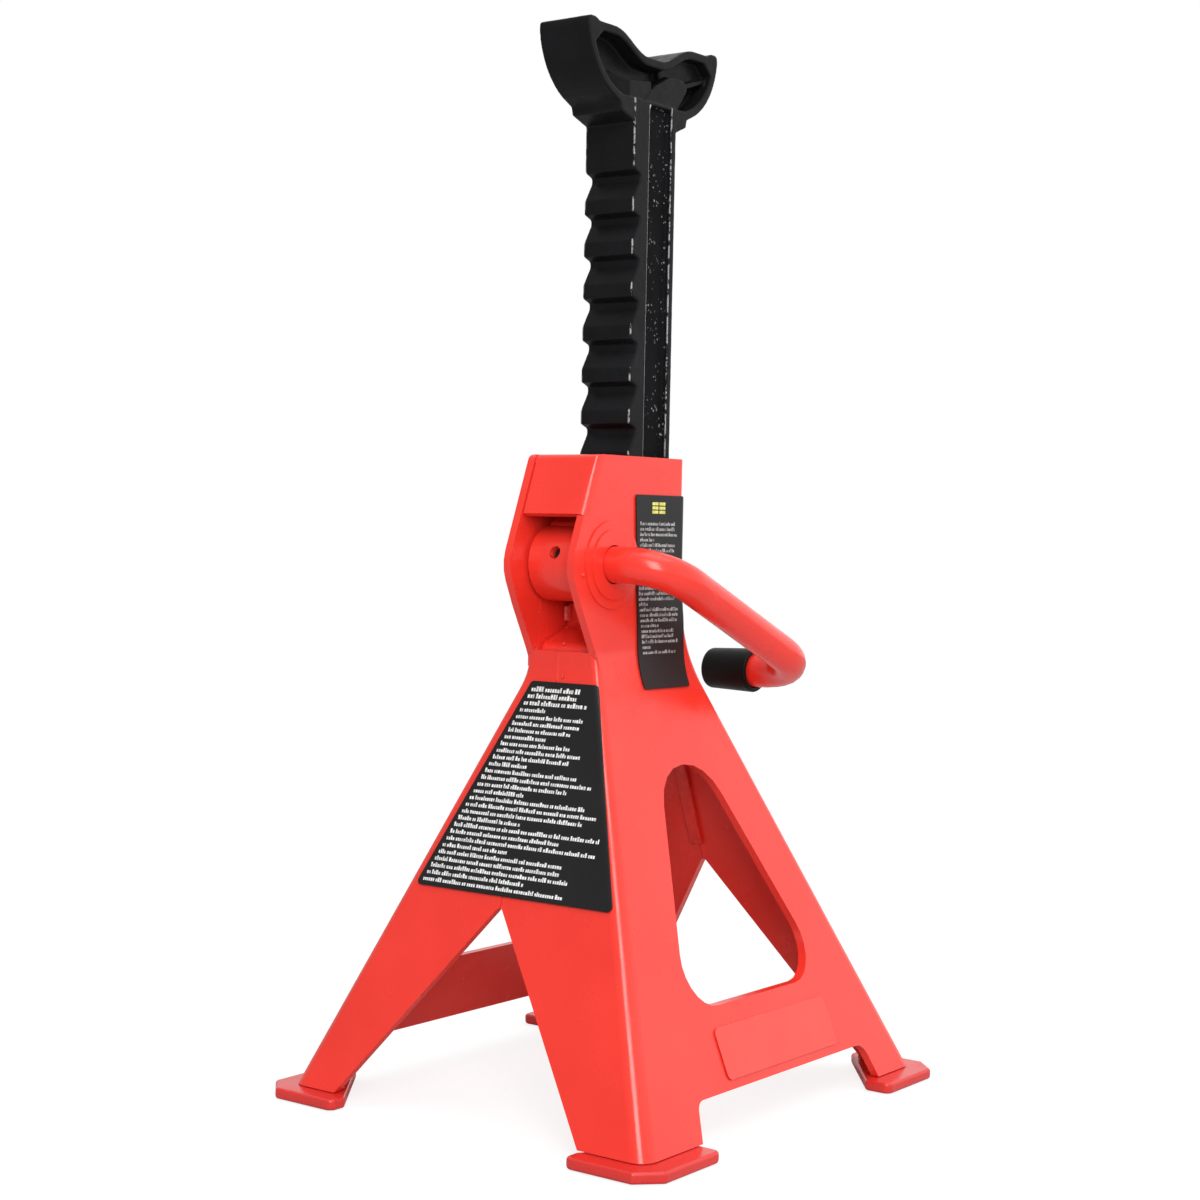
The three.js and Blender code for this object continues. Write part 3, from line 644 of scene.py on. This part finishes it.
def floor():
    """Plain pale floor: white to the eye away from the stand, and a soft reflector of light."""
    spot = (0, 0, -FLOOR_DROP)
    bpy.ops.mesh.primitive_circle_add(
        vertices=96, radius=FLOOR_RADIUS, fill_type="NGON", location=spot)
    ground = bpy.context.object
    ground.name = "floor"
    material = new_material("pale_floor", grey(0.5), 0.7, specular=0.1)
    tint = ramp(material, noise(material, 3, 2), [(0.3, grey(0.48)), (0.7, grey(0.54))])
    drive(material, "Base Color", tint)
    tree = material.node_tree
    glow = node(material, "ShaderNodeEmission", Strength=FLOOR_GLOW)
    shadow = node(material, "ShaderNodeBsdfDiffuse")
    shadow.inputs["Color"].default_value = (1, 1, 1, 1)
    seen = node(material, "ShaderNodeMixShader")
    seen.inputs["Fac"].default_value = FLOOR_WHITE
    link(material, shadow.outputs["BSDF"], seen.inputs[1])
    link(material, glow.outputs["Emission"], seen.inputs[2])
    path = node(material, "ShaderNodeLightPath")
    choice = node(material, "ShaderNodeMixShader")
    link(material, path.outputs["Is Camera Ray"], choice.inputs["Fac"])
    link(material, tree.nodes["Principled BSDF"].outputs["BSDF"], choice.inputs[1])
    link(material, seen.outputs["Shader"], choice.inputs[2])
    link(material, choice.outputs["Shader"], tree.nodes["Material Output"].inputs["Surface"])
    ground.data.materials.append(material)


def softbox(name, azimuth, elevation, distance, width, height, power):
    """Area light round the stand. Azimuth 0 stands on the -Y side and 90 on the +X side."""
    a, e = math.radians(azimuth), math.radians(elevation)
    away = Vector((math.sin(a) * math.cos(e), -math.cos(a) * math.cos(e), math.sin(e)))
    data = bpy.data.lights.new(name, "AREA")
    data.shape = "RECTANGLE"
    data.size = width
    data.size_y = height
    data.energy = power
    lamp = bpy.data.objects.new(name, data)
    lamp.location = LAMP_CENTRE + away * distance
    lamp.rotation_mode = "QUATERNION"
    lamp.rotation_quaternion = (-away).to_track_quat("-Z", "Y")
    bpy.context.scene.collection.objects.link(lamp)


def studio():
    """White room: plain white to the eye, brighter beyond the stand than behind the camera."""
    world = bpy.data.worlds.new("studio")
    bpy.context.scene.world = world
    world.use_nodes = True
    tree = world.node_tree
    tree.nodes.clear()
    output = tree.nodes.new("ShaderNodeOutputWorld")
    coordinates = tree.nodes.new("ShaderNodeTexCoord")
    dot = tree.nodes.new("ShaderNodeVectorMath")
    dot.operation = "DOT_PRODUCT"
    dot.inputs[1].default_value = BRIGHT_WAY
    tree.links.new(coordinates.outputs["Generated"], dot.inputs[0])
    shade = tree.nodes.new("ShaderNodeMapRange")
    shade.inputs["From Min"].default_value = ROOM_RANGE[0]
    shade.inputs["From Max"].default_value = ROOM_RANGE[1]
    shade.inputs["To Min"].default_value = ROOM_DIM
    shade.inputs["To Max"].default_value = ROOM_BRIGHT
    tree.links.new(dot.outputs["Value"], shade.inputs["Value"])
    room = tree.nodes.new("ShaderNodeBackground")
    tree.links.new(shade.outputs["Result"], room.inputs["Strength"])
    plain = tree.nodes.new("ShaderNodeBackground")
    plain.inputs["Strength"].default_value = 1.0
    for background in (room, plain):
        background.inputs["Color"].default_value = (1, 1, 1, 1)
    path = tree.nodes.new("ShaderNodeLightPath")
    mix = tree.nodes.new("ShaderNodeMixShader")
    tree.links.new(path.outputs["Is Camera Ray"], mix.inputs["Fac"])
    tree.links.new(room.outputs["Background"], mix.inputs[1])
    tree.links.new(plain.outputs["Background"], mix.inputs[2])
    tree.links.new(mix.outputs["Shader"], output.inputs["Surface"])


def camera():
    forward = Vector((
        math.sin(CAMERA_YAW) * math.cos(CAMERA_PITCH),
        math.cos(CAMERA_YAW) * math.cos(CAMERA_PITCH),
        math.sin(CAMERA_PITCH),
    ))
    level = Vector((math.cos(CAMERA_YAW), -math.sin(CAMERA_YAW), 0))
    upright = level.cross(forward)
    right = math.cos(CAMERA_ROLL) * level + math.sin(CAMERA_ROLL) * upright
    up = right.cross(forward)
    data = bpy.data.cameras.new("camera")
    data.lens = CAMERA_LENS
    data.sensor_width = 36
    data.clip_start = 0.05
    data.clip_end = 50
    eye = bpy.data.objects.new("camera", data)
    turn = Matrix((right, up, -forward)).transposed()
    eye.matrix_world = Matrix.Translation(CAMERA_PLACE) @ turn.to_4x4()
    bpy.context.scene.collection.objects.link(eye)
    bpy.context.scene.camera = eye


floor()
studio()
softbox("key_light", azimuth=-50, elevation=26, distance=1.3, width=0.42, height=1.0, power=10.5)
softbox("top_light", azimuth=10, elevation=80, distance=1.4, width=0.9, height=0.9, power=4)
camera()
bpy.context.scene.view_settings.view_transform = "Standard"
